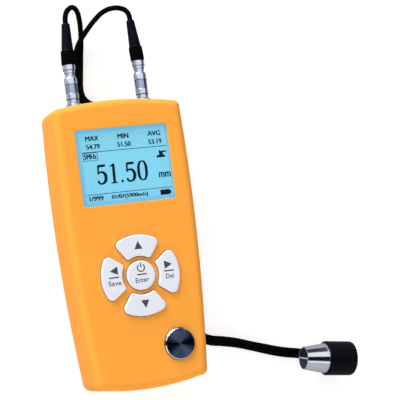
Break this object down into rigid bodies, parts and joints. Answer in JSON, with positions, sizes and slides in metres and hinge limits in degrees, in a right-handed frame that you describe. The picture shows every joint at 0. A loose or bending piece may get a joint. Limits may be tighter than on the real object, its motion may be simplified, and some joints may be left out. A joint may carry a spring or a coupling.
{
  "type": "ultrasonic thickness gauge",
  "caption": "Hand-held gauge with display, key cross, zero block and twin plugs, leads and dual-element probe, for measuring wall thickness by ultrasound.",
  "frame": {"origin": "middle of the flat back face, on which the gauge lies", "axes": "+X to the right of the display, +Y along the body to the sockets, +Z out of the face"},
  "size_m": [0.1511, 0.2083, 0.0345],
  "materials": {
    "housing_orange": "satin moulded ABS",
    "key_white": "satin moulded plastic",
    "window": "clear hard-coated acrylic",
    "display": "LCD glass over a blue-white backlight",
    "pale_plastic": "natural",
    "board": "solder mask",
    "black_plastic": "fine moulded",
    "black_rubber": "satin",
    "turned_steel": "turned",
    "plated_metal": "satin chrome plate",
    "brass": "plain",
    "delay_plastic": "lapped",
    "ceramic": "lapped",
    "cell": "plain wrap",
    "spring_steel": "drawn wire"
  },
  "bodies": {
    "root": {"front_shell": "housing_orange", "rear_cover": "housing_orange", "window_lens": "window", "lcd_panel": "display", "backlight": "pale_plastic", "main_board": "board", "wireless_module": "plated_metal", "tact_switches": "black_plastic", "test_block": "turned_steel", "lead_left": "black_rubber", "lead_right": "black_rubber", "probe_nose": "plated_metal", "probe_cap": "black_plastic", "probe_gland": "black_rubber", "delay_line_send": "delay_plastic", "delay_line_receive": "delay_plastic", "sound_barrier": "pale_plastic", "crystal_send": "ceramic", "crystal_receive": "ceramic", "cell_1": "cell", "cell_2": "cell", "cell_3": "cell", "cell_4": "cell", "battery_springs": "spring_steel", "battery_contacts": "brass", "case_screws": "spring_steel", "board_screws": "spring_steel", "socket_left": "plated_metal", "socket_nut_left": "brass", "socket_insulator_left": "pale_plastic", "socket_contact_left": "brass", "plug_core_left": "plated_metal", "collet_nut_left": "plated_metal", "boot_left": "black_rubber", "plug_insulator_left": "pale_plastic", "plug_pin_left": "brass", "socket_right": "plated_metal", "socket_nut_right": "brass", "socket_insulator_right": "pale_plastic", "socket_contact_right": "brass", "plug_core_right": "plated_metal", "collet_nut_right": "plated_metal", "boot_right": "black_rubber", "plug_insulator_right": "pale_plastic", "plug_pin_right": "brass"},
    "key_up": {"key_up": "key_white", "plunger_up": "pale_plastic"},
    "key_right": {"key_right": "key_white", "plunger_right": "pale_plastic"},
    "key_down": {"key_down": "key_white", "plunger_down": "pale_plastic"},
    "key_left": {"key_left": "key_white", "plunger_left": "pale_plastic"},
    "key_enter": {"key_enter": "key_white", "plunger_enter": "pale_plastic"},
    "release_sleeve_left": {"release_sleeve_left": "plated_metal"},
    "release_sleeve_right": {"release_sleeve_right": "plated_metal"},
    "battery_door": {"battery_door": "housing_orange"}
  },
  "joints": [
    {"name": "up_press", "type": "slide", "parent": "root", "child": "key_up", "axis": [0, 0, -1], "range_m": [0, 0.0005], "stiffness_N_per_m": 900},
    {"name": "right_press", "type": "slide", "parent": "root", "child": "key_right", "axis": [0, 0, -1], "range_m": [0, 0.0005], "stiffness_N_per_m": 900},
    {"name": "down_press", "type": "slide", "parent": "root", "child": "key_down", "axis": [0, 0, -1], "range_m": [0, 0.0005], "stiffness_N_per_m": 900},
    {"name": "left_press", "type": "slide", "parent": "root", "child": "key_left", "axis": [0, 0, -1], "range_m": [0, 0.0005], "stiffness_N_per_m": 900},
    {"name": "enter_press", "type": "slide", "parent": "root", "child": "key_enter", "axis": [0, 0, -1], "range_m": [0, 0.0005], "stiffness_N_per_m": 900},
    {"name": "left_sleeve_pull", "type": "slide", "parent": "root", "child": "release_sleeve_left", "axis": [0, 1, 0], "range_m": [0, 0.0012], "stiffness_N_per_m": 1500},
    {"name": "right_sleeve_pull", "type": "slide", "parent": "root", "child": "release_sleeve_right", "axis": [0, 1, 0], "range_m": [0, 0.0012], "stiffness_N_per_m": 1500},
    {"name": "door_slide", "type": "slide", "parent": "root", "child": "battery_door", "axis": [0, -1, 0], "range_m": [0, 0.058]}
  ]
}
